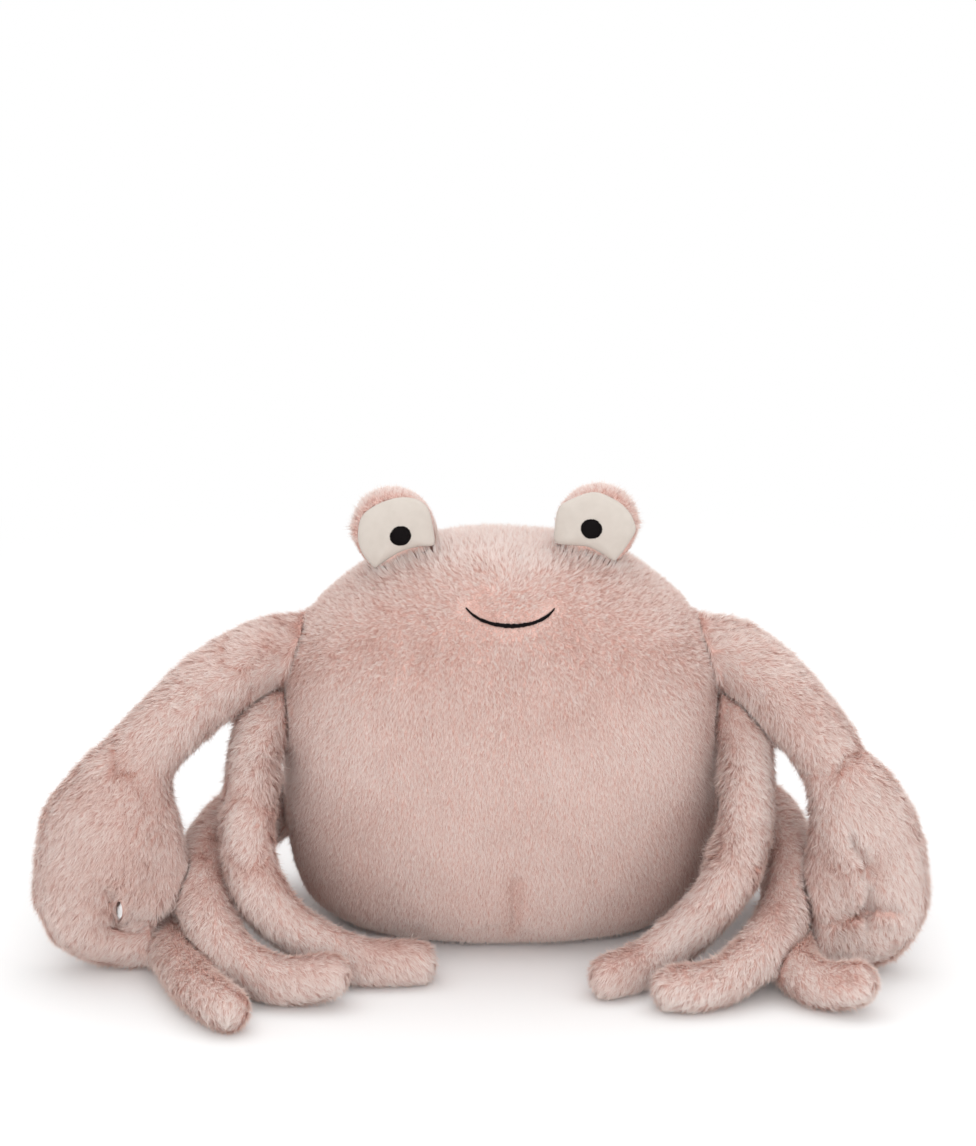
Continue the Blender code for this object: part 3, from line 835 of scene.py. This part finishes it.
def kept_clear(name, near, trees, roots, tips):
    """Which blades stay. Moves the tips that would enter a neighbour or cover a stitched line."""
    kept = np.ones(len(roots), dtype=bool)
    for other, box in close_pieces(name, NEAR_REACH).items():
        room = POD_ROOM if (kind_of(name), other) == ("pod", "body") else NEIGHBOUR_ROOM
        off = {}
        for index, distance, _, _ in near[other]:
            off[index] = distance
            if distance < room:
                kept[index] = False
            elif other in ("smile", "left_pupil", "right_pupil") and distance < STITCH_BAND:
                share = 0.45 + 50 * distance
                tips[index] = roots[index] + (tips[index] - roots[index]) * share
        for index, distance, point, normal in clearances(tips, box, trees[other], NEAR_REACH):
            if distance < TIP_ROOM and "pod" in other:
                tips[index] = point + normal * TIP_ROOM
            elif distance < TIP_ROOM:
                start = max(off.get(index, NEAR_REACH), TIP_ROOM)
                share = (start - TIP_ROOM) / max(start - distance, 1e-6)
                share = min(1, max(share, 0.25))
                tips[index] = roots[index] + (tips[index] - roots[index]) * share
    above_floor(tips)
    if name in HOLES:
        for share in (0.0, 0.35, 0.7, 1.0):
            kept &= ~in_hole(roots + (tips - roots) * share, trees[name], HOLES[name])
    return kept


def build_pile(name, skin, trees, ground, material, chance):
    """The blades of one skin, as one or more meshes that go with it."""
    kind = kind_of(name)
    count = int((ground.areas * ground.density).sum() * 1e6 * BLADES_PER_MM2[kind])
    face, shares = ground.spots(count, chance)
    fields = ground.places, ground.normals, ground.lie, ground.tousle, ground.rise
    roots, normals, lie, tousle, rise = ground.read(fields, face, shares)
    length, tone = ground.read((ground.length, ground.tone), face, shares)
    normals = unit(normals)
    length *= PILE_LENGTH[kind]
    length *= chance.uniform(*LENGTH_DRAW, count)

    def spread(kinds, power=1):
        """What the tuft of each blade draws, within a spread that grows with the tousle."""
        sleek, tousled = kinds
        return chance.normal(0, 1, tufts)[tuft] * (sleek + tousled * tousle ** power)

    tuft, tufts = tufted(roots, ground, TUFT_SPACINGS[kind], chance)
    tuft_turn, tuft_lift, tuft_tone = spread(TUFT_TURN, 1.5), spread(TUFT_LIFT), spread(TUFT_TONE)
    turn = tuft_turn + chance.normal(0, BLADE_TURN, count)
    lie = turned(along_surface(lie, normals), normals, turn)
    lift = LIFT[0] + LIFT[1] * tousle + tuft_lift + chance.normal(0, BLADE_LIFT, count)
    guard = chance.random(count) < GUARD_HAIRS
    lift += np.where(guard, chance.uniform(*GUARD_LIFT, count), 0.0)
    lift += rise
    near = {other: clearances(roots, box, trees[other], NEAR_REACH)
            for other, box in close_pieces(name, NEAR_REACH).items()}
    leant_over(name, near, roots, lie, lift, length, tone)
    lie = along_surface(lie, normals)
    lift = np.clip(lift, *LIFT_RANGE)
    way = lie * np.cos(lift)[:, None] + normals * np.sin(lift)[:, None]
    tips = roots + way * length[:, None]

    heaps = np.zeros((tufts, 3))
    np.add.at(heaps, tuft, tips)
    heaps /= np.maximum(np.bincount(tuft, minlength=tufts), 1)[:, None]
    draw = np.where(guard, 0.0, chance.uniform(*TUFT_DRAW, count))[:, None]
    tips = tips + (heaps[tuft] - tips) * draw

    kept = kept_clear(name, near, trees, roots, tips)
    run = tips - roots
    size = np.linalg.norm(run, axis=1)
    kept &= size > BLADE_LEAST
    kept &= np.sum(run * normals, axis=1) > -0.3 * size

    tone = tone + tuft_tone + chance.normal(0, BLADE_TONE, count)
    tone = np.clip(tone + GUARD_PALER * guard, *TONE_RANGE)
    blades = (roots, tips, unit(run), normals, tone, guard, ground.density[face])
    roots, tips, run, normals, tone, guard, density = (values[kept] for values in blades)
    roll = chance.uniform(*ROLL_DRAW, len(run))
    broad = BLADE_WIDTHS[kind] * chance.uniform(*WIDTH_DRAW, len(run))
    broad *= np.where(guard, GUARD_THIN, 1.0)
    broad /= np.sqrt(density)
    width = turned(unit(np.cross(run, normals)), run, roll) * broad[:, None]
    flat = unit(np.cross(width, run))
    flat *= np.sign(np.sum(flat * normals, axis=1, keepdims=True)) + 1e-9
    shading = unit(0.50 * normals + 0.50 * unit(flat))
    in_pieces(name, skin, material, (roots, tips, width, shading, tone))


def in_pieces(name, skin, material, blades):
    """Blades as one mesh that goes with the skin, or as more, from front to back, if many."""
    roots = blades[0]
    parts = max(1, math.ceil(len(roots) / BLADES_IN_A_PIECE))
    order = np.argsort(roots[:, 1], kind="stable") if parts > 1 else np.arange(len(roots))
    for number, chosen in enumerate(np.array_split(order, parts)):
        label = f"{name}_pile" if parts == 1 else f"{name}_pile_{number + 1}"
        pile = finished(label, blade_mesh(label, *(part[chosen] for part in blades)), material)
        pile.parent = skin


def blade_mesh(label, roots, tips, width, shading, tone):
    """One triangle a blade, with shading normals, and tone and way along the blade as its map."""
    count = len(roots)
    places = np.empty((count, 3, 3))
    places[:, 0] = roots - width / 2
    places[:, 1] = roots + width / 2
    places[:, 2] = tips
    mesh = bpy.data.meshes.new(label)
    mesh.vertices.add(count * 3)
    mesh.vertices.foreach_set("co", places.ravel())
    mesh.loops.add(count * 3)
    mesh.loops.foreach_set("vertex_index", np.arange(count * 3, dtype=np.int32))
    mesh.polygons.add(count)
    mesh.polygons.foreach_set("loop_start", np.arange(0, count * 3, 3, dtype=np.int32))
    mesh.update(calc_edges=True)
    across = np.stack([tone - MAP_INSET, tone + MAP_INSET, tone], axis=1)
    up = np.tile(np.array([MAP_INSET, MAP_INSET, 1 - MAP_INSET]), (count, 1))
    layer = mesh.uv_layers.new(name="OFBake")
    layer.data.foreach_set("uv", np.stack([across, up], axis=2).ravel())
    mesh.polygons.foreach_set("use_smooth", np.ones(count, dtype=bool))
    mesh.normals_split_custom_set_from_vertices(np.repeat(shading, 3, axis=0))
    return mesh


# ---- materials

class Recipe:
    """The nodes of a material or a world in the making."""

    def __init__(self, owner):
        self.owner = owner
        owner.use_nodes = True
        self.nodes = owner.node_tree.nodes
        self.links = owner.node_tree.links
        self.shader = self.nodes.get("Principled BSDF")

    def fill(self, node, inputs):
        """Puts a link, a colour or a number on each input, which is given by name or number."""
        for key, value in inputs.items():
            if isinstance(value, bpy.types.NodeSocket):
                self.links.new(value, node.inputs[key])
            else:
                constant = (*value, 1) if isinstance(value, tuple) else value
                node.inputs[key].default_value = constant

    def add(self, kind, inputs, **settings):
        """A new node with its settings and inputs; gives back its outputs."""
        node = self.nodes.new(f"ShaderNode{kind}")
        for key, value in settings.items():
            setattr(node, key, value)
        self.fill(node, inputs)
        return node.outputs

    def mixed(self, factor, first, second, blend="MIX"):
        """A mix of two colours."""
        inputs = {0: factor, 6: first, 7: second}
        return self.add("Mix", inputs, data_type="RGBA", blend_type=blend)[2]

    def ranged(self, value, start, end, low, high, kind="LINEAR"):
        """A value mapped from start..end to low..high."""
        inputs = {0: value, 1: start, 2: end, 3: low, 4: high}
        return self.add("MapRange", inputs, interpolation_type=kind)[0]

    def texture(self, kind, scale, **inputs):
        """A texture in the object's own space."""
        place = self.add("TexCoord", {})["Object"]
        return self.add(f"Tex{kind}", {"Vector": place, "Scale": scale, **inputs})

    def finish(self, surface=None, bump=None, **look):
        """Sets the main shader, its bump (height, strength, distance) and the surface."""
        self.fill(self.shader, {key.replace("_", " "): value for key, value in look.items()})
        if bump:
            inputs = dict(zip(("Height", "Strength", "Distance"), bump))
            self.fill(self.shader, {"Normal": self.add("Bump", inputs)[0]})
        if surface:
            self.fill(self.nodes["Material Output"], {"Surface": surface})
        return self.owner


def pile_material():
    """Pile: rosier and darker at the root, paler at the tip, and more so by the blade's tone; the
    lowest tones take the painted shade of creases.
    """
    recipe = Recipe(bpy.data.materials.new("pile_fur"))
    blade = recipe.add("UVMap", {}, uv_map="OFBake")[0]
    tone, way, _ = recipe.add("SeparateXYZ", {0: blade})
    # Share of the way out of the painted shade of creases: none at the lowest tone, all from the
    # crease tone up
    out_of_painted_shade = recipe.ranged(tone, TONE_RANGE[0], PAINTED_SHADE_TONE, 0.0, 1.0)
    root = recipe.mixed(tone, recipe.mixed(out_of_painted_shade, ROOT_PAINTED_SHADE, ROOT_DEEP), ROOT_PALE)
    tip = recipe.mixed(tone, recipe.mixed(out_of_painted_shade, TIP_PAINTED_SHADE, TIP_DEEP), TIP_PALE)
    hue = recipe.mixed(recipe.ranged(way, 0.02, 0.72, 0.0, 1.0, "SMOOTHSTEP"), root, tip)
    warm = recipe.mixed(1.0, hue, THROUGH_TINT, "MULTIPLY")
    through = recipe.add("BsdfTranslucent", {"Color": warm})[0]
    both = recipe.add("MixShader", {0: SEEN_THROUGH, 1: recipe.shader.outputs[0], 2: through})[0]
    return recipe.finish(
        both, Base_Color=hue, Roughness=recipe.ranged(way, 0.0, 1.0, 0.95, 0.70),
        Specular_IOR_Level=0.06, Sheen_Weight=0.25, Sheen_Roughness=0.45, Sheen_Tint=SHEEN_PINK)


def skin_material():
    """The knitted backing under the pile: mostly hidden, in the colour of the roots."""
    recipe = Recipe(bpy.data.materials.new("fur_backing"))
    patches = recipe.texture("Noise", 70, Detail=4)[0]
    knit = recipe.texture("Voronoi", 900)["Distance"]
    return recipe.finish(
        bump=(knit, 0.5, 0.0006), Base_Color=recipe.mixed(patches, ROOT_DEEP, ROOT_PALE),
        Roughness=recipe.ranged(patches, 0.3, 0.7, 0.85, 1.0))


def suede_material():
    """Cream microfibre suede: a fine nap with soft darker strokes."""
    recipe = Recipe(bpy.data.materials.new("cream_suede"))
    worn = recipe.ranged(recipe.texture("Noise", 160, Detail=5)[0], 0.30, 0.62, 0.0, 1.0)
    nap = recipe.texture("Noise", 2600, Detail=3)[0]
    return recipe.finish(
        bump=(nap, 0.35, 0.0003), Base_Color=recipe.mixed(worn, SUEDE_SHADE, SUEDE_CREAM),
        Roughness=recipe.ranged(nap, 0.3, 0.7, 0.78, 0.96),
        Specular_IOR_Level=0.2, Sheen_Weight=0.25, Sheen_Roughness=0.5)


def thread_material():
    """Black embroidery thread with a soft gloss along the stitches."""
    recipe = Recipe(bpy.data.materials.new("black_thread"))
    fibre = recipe.texture("Noise", 1800, Detail=4)[0]
    return recipe.finish(
        bump=(fibre, 0.4, 0.0002), Base_Color=recipe.mixed(fibre, THREAD_BLACK, THREAD_PALE),
        Roughness=recipe.ranged(fibre, 0.3, 0.7, 0.38, 0.62), Specular_IOR_Level=0.08)


def floor_material():
    """White floor that keeps the shadow near the crab and fades into the white background."""
    recipe = Recipe(bpy.data.materials.new("floor_white"))
    place = recipe.add("TexCoord", {})["Object"]
    way = recipe.add("VectorMath", {0: place}, operation="LENGTH")["Value"]
    far = recipe.ranged(way, 0.45, 1.1, 0.0, 1.0, "SMOOTHSTEP")
    seen = recipe.add("LightPath", {})["Is Camera Ray"]
    share = recipe.add("Math", {0: far, 1: seen}, operation="MULTIPLY")[0]
    glow = recipe.add("Emission", {})[0]
    surface = recipe.add("MixShader", {0: share, 1: recipe.shader.outputs[0], 2: glow})[0]
    return recipe.finish(surface, Base_Color=FLOOR_WHITE, Roughness=0.8, Specular_IOR_Level=0.1)


# ---- eyes and smile

def mesh_piece(name, places, faces, material, merge=False):
    """A smooth-shaded piece from points and faces."""
    mesh = bpy.data.meshes.new(name)
    mesh.from_pydata([tuple(place) for place in places], [], faces)
    work = bmesh.new()
    work.from_mesh(mesh)
    bmesh.ops.recalc_face_normals(work, faces=work.faces)
    if merge:
        bmesh.ops.remove_doubles(work, verts=work.verts, dist=0.00001)
    work.to_mesh(mesh)
    work.free()
    mesh.polygons.foreach_set("use_smooth", np.ones(len(mesh.polygons), dtype=bool))
    return finished(name, mesh, material)


def white_outline(name, depth, steps):
    """Middle of an eye's suede at this depth, and its reach in even directions about it."""
    line = []
    for across, down in (*WHITE_LINES[name], WHITE_LINES[name][0]):
        sight = sight_line(across, down)
        line.append(CAMERA_PLACE + sight * ((depth - CAMERA_PLACE.y) / sight.y))
    curve = smooth_line(line, 400)[:-1]
    middle = sum(curve, Vector()) / len(curve)
    angles = np.array([math.atan2(point.z - middle.z, point.x - middle.x) for point in curve])
    reaches = np.array([(point - middle).length for point in curve])
    wanted = np.linspace(-math.pi, math.pi, steps, endpoint=False)
    reaches = np.interp(wanted, angles[np.argsort(angles)], reaches[np.argsort(angles)],
                        period=2 * math.pi)
    return middle, [(r, Vector((math.cos(a), 0, math.sin(a)))) for r, a in zip(reaches, wanted)]


def build_white(name, material, rings=22, steps=144):
    """The suede of an eye: a stuffed dome that goes down to its sewn edge all round."""
    low, high = (Vector(corner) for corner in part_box(name))
    back, places, faces = high.y, [], []
    middle, outline = white_outline(name, back, steps)
    for ring in range(rings):
        share = 1 - ring / (rings - 1)
        for reach, way in outline:
            round_share = (1 - share ** SUEDE_ROUND[0]) ** SUEDE_ROUND[1]
            rise = SUEDE_EDGE + (back - low.y + SUEDE_DOME - SUEDE_FLAT) * round_share
            place = middle + way * (reach * share)
            lump = noise.noise(Vector((place.x, 0, place.z)) / SUEDE_CREASE_SIZE)
            crease = SUEDE_CREASE * lump * (0.3 + share)
            places.append(Vector((place.x, back - rise - crease, place.z)))
    rim = len(places)
    for reach, way in outline:
        place = middle + way * reach
        places.append(Vector((place.x, back - SUEDE_BACK, place.z)))
    for ring in range(rings - 1):
        for step in range(steps):
            after = (step + 1) % steps
            here, inner = ring * steps, (ring + 1) * steps
            faces.append((here + step, here + after, inner + after, inner + step))
    for step in range(steps):
        faces.append((rim + step, rim + (step + 1) % steps, (step + 1) % steps, step))
    faces.append(tuple(range(rim, rim + steps)))
    piece = mesh_piece(f"{name}_suede", places, faces, material, merge=True)
    return piece, [middle + way * reach for reach, way in outline]


def stitch(places, faces, start, end, out, rise, radius, spans=7, sides=5):
    """Adds one stitch: a thread that arches over the ground from start to end."""
    run = (end - start).normalized()
    side = run.cross(out).normalized()
    first = len(places)
    for span in range(spans + 1):
        share = span / spans
        arch = math.sin(math.pi * share) ** 0.6 if 0 < share < 1 else 0.0
        middle = start.lerp(end, share) + out * (rise * arch)
        thick = radius * (0.55 + 0.45 * arch)
        for corner in range(sides):
            angle = math.pi * corner / (sides - 1)
            turn = side * math.cos(angle) + out * math.sin(angle)
            places.append(middle + turn * thick)
    for span in range(spans):
        for corner in range(sides - 1):
            here = first + span * sides + corner
            faces.append((here, here + 1, here + sides + 1, here + sides))


def build_pupil(name, tree, material, chance):
    """The pupil: satin stitches side by side across an oval, on the dome of the suede."""
    (across, down), lean = PUPILS[name]
    middle = seen_on(tree, across, down)
    turn = Matrix.Rotation(math.radians(-lean), 3, "Y")
    right, up, out = turn @ Vector((1, 0, 0)), turn @ Vector((0, 0, 1)), Vector((0, -1, 0))
    places, faces = [], []
    count = int(2 * PUPIL_HALF_HEIGHT / STITCH_PITCH)
    for row in range(count + 1):
        height = -1 + 2 * (row + 0.5) / (count + 1)
        half = PUPIL_HALF_WIDTH * math.sqrt(1 - height * height)
        ends = []
        for sign in (-1, 1):
            reach = sign * (half + chance.uniform(*PUPIL_RAGGED))
            spot = middle + right * reach + up * (height * PUPIL_HALF_HEIGHT)
            ends.append(tree.ray_cast(spot + out * 0.02, -out)[0])
        rise = PUPIL_RISE[0] + PUPIL_RISE[1] * math.sqrt(1 - height * height)
        stitch(places, faces, *ends, out, rise, STITCH_PITCH * 0.72)
    return mesh_piece(f"{name}_stitch", places, faces, material)


def smooth_line(points, steps):
    """Even steps along a smooth curve through the points."""
    points = [Vector(point) for point in points]
    ends = [points[0] * 2 - points[1], *points, points[-1] * 2 - points[-2]]
    fine = []
    for before, start, stop, after in zip(ends, ends[1:], ends[2:], ends[3:]):
        for part in range(16):
            t = part / 16
            fine.append(0.5 * (start * 2 + (stop - before) * t
                               + (before * 2 - start * 5 + stop * 4 - after) * t * t
                               + (start * 3 - before - stop * 3 + after) * t * t * t))
    fine.append(points[-1])
    along = np.cumsum([0.0] + [(b - a).length for a, b in zip(fine, fine[1:])])
    wanted = np.linspace(0, along[-1], steps)
    spots = np.array([list(point) for point in fine])
    line = [np.interp(wanted, along, spots[:, axis]) for axis in range(spots.shape[1])]
    return [Vector(point) for point in np.stack(line, axis=1)]


def build_smile(tree, material, chance):
    """The smile: satin stitches across a line that the photograph gives, fine at both ends."""
    surface = [tree.ray_cast(CAMERA_PLACE, sight_line(*spot))[0] for spot in SMILE_LINE]
    length = sum((b - a).length for a, b in zip(surface, surface[1:]))
    count = int(length / SMILE_PITCH)
    line = smooth_line(surface, count)
    places, faces = [], []
    for index in range(1, count - 1):
        share = index / (count - 1)
        width = float(np.interp(share, *zip(*SMILE_WIDTHS)))
        along = (line[index + 1] - line[index - 1]).normalized()
        point, normal, _, _ = tree.find_nearest(line[index])
        out = (normal - along * normal.dot(along)).normalized()
        aside = out.cross(along).normalized()
        slant = along * (0.25 * width)
        lift = out * SMILE_LIFT
        wide = width / 2 * chance.uniform(*SMILE_RAGGED)
        start = point + lift - aside * wide - slant
        end = point + lift + aside * wide + slant
        stitch(places, faces, start, end, out, STITCH_RISE * (0.5 + 0.5 * width / 0.003),
               SMILE_PITCH * 0.60, spans=6)
    return mesh_piece("smile_stitch", places, faces, material)


# ---- stage

def build_stage():
    """Floor, lights, world and the photograph's camera."""
    bpy.ops.mesh.primitive_circle_add(vertices=96, radius=14, fill_type="NGON", location=(0, 0, 0))
    floor = bpy.context.object
    floor.name = "floor"
    floor.data.materials.append(floor_material())

    SCENE.world = bpy.data.worlds.new("studio")
    world = Recipe(SCENE.world)
    world.nodes.clear()
    seen = world.add("LightPath", {})["Is Camera Ray"]
    dim, white = (world.add("Background", {"Strength": strength})[0]
                  for strength in (AIR_STRENGTH, 1.0))
    sky = world.add("MixShader", {0: seen, 1: dim, 2: white})[0]
    world.add("OutputWorld", {0: sky})

    for name, place, aim, wide, high, watts in LAMPS:
        data = bpy.data.lights.new(name, "AREA")
        data.shape = "RECTANGLE"
        data.size, data.size_y, data.energy = wide, high, watts
        lamp = linked(name, data)
        lamp.location = place
        lamp.rotation_euler = (Vector(aim) - Vector(place)).to_track_quat("-Z", "Y").to_euler()

    data = bpy.data.cameras.new("photograph")
    data.lens = LENS_MM
    data.sensor_fit = "VERTICAL"
    data.sensor_height = SENSOR_MM
    data.clip_start, data.clip_end = 0.05, 50
    camera = linked("photograph", data)
    camera.location = CAMERA_PLACE
    camera.rotation_euler = CAMERA_AIM.to_track_quat("-Z", "Y").to_euler()
    SCENE.camera = camera
    SCENE.view_settings.view_transform = "Standard"


# ---- build

def stands_for(piece, node):
    """Hangs a piece on the root body, and hides the CAD node that it stands in for."""
    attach(piece, "root")
    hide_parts(node)


def marks_on(name, tree):
    """The lines and spots of a piece, moved from the photograph onto its CAD surface."""
    marks = {}
    for key, table in (("seams", SEAMS), ("overlaps", OVERLAPS)):
        marks[key] = [([seen_on(tree, *spot) for spot in line], *rest)
                      for line, *rest in table.get(name, ())]
    for key, table in (("tones", TONE_AND_PAINTED_LIGHT_SPOTS), ("fuller", FULLER_SPOTS)):
        marks[key] = [(seen_on(tree, *spot), *rest) for spot, *rest in table.get(name, ())]
    return marks


def build():
    trees = {name: node_tree(name) for name in NODES}
    pile, backing = pile_material(), skin_material()
    suede, thread = suede_material(), thread_material()

    rims = {}
    for side in ("left", "right"):
        white, pupil = f"{side}_eye_white", f"{side}_pupil"
        piece, rims[f"{side}_eye_pod"] = build_white(white, suede)
        stands_for(piece, white)
        surface = BVHTree.FromObject(piece, bpy.context.evaluated_depsgraph_get())
        piece = build_pupil(pupil, surface, thread, np.random.default_rng(SEED + 40))
        stands_for(piece, pupil)
    piece = build_smile(trees["body"], thread, np.random.default_rng(SEED + 50))
    stands_for(piece, "smile")

    skins, marks = {}, {}
    for name in ("body", *LIMB_ROOTS, *rims):
        marks[name] = marks_on(name, trees[name])
        mesh = remeshed(NODES[name], VOXELS[kind_of(name)], 3)
        drawn_in(name, mesh, INSETS[kind_of(name)], trees)
        skins[name] = finished(f"{name}_skin", mesh, backing)
    puffed(skins)
    for name, rim in rims.items():
        # The eye rims count as seams of no depth: the pod's pile along them is painted darker, a
        # painted shade, and shorter
        marks[name]["seams"].append((rim + rim[:1], 0.0022, 0.0))
    for number, (name, skin) in enumerate(skins.items()):
        lumpy(skin.data, number * 2.3)
        pinched(skin.data, marks[name]["seams"])
        overlapped(skin.data, marks[name]["overlaps"])
        if name in HOLES:
            pierced(skin, trees[name], HOLES[name])
        skin.data.polygons.foreach_set("use_smooth", np.ones(len(skin.data.polygons), dtype=bool))
        skin.data.update()
        stands_for(skin, name)
        ground = Ground(name, skin.data, marks[name])
        build_pile(name, skin, trees, ground, pile, np.random.default_rng(SEED + number))
    build_stage()


build()
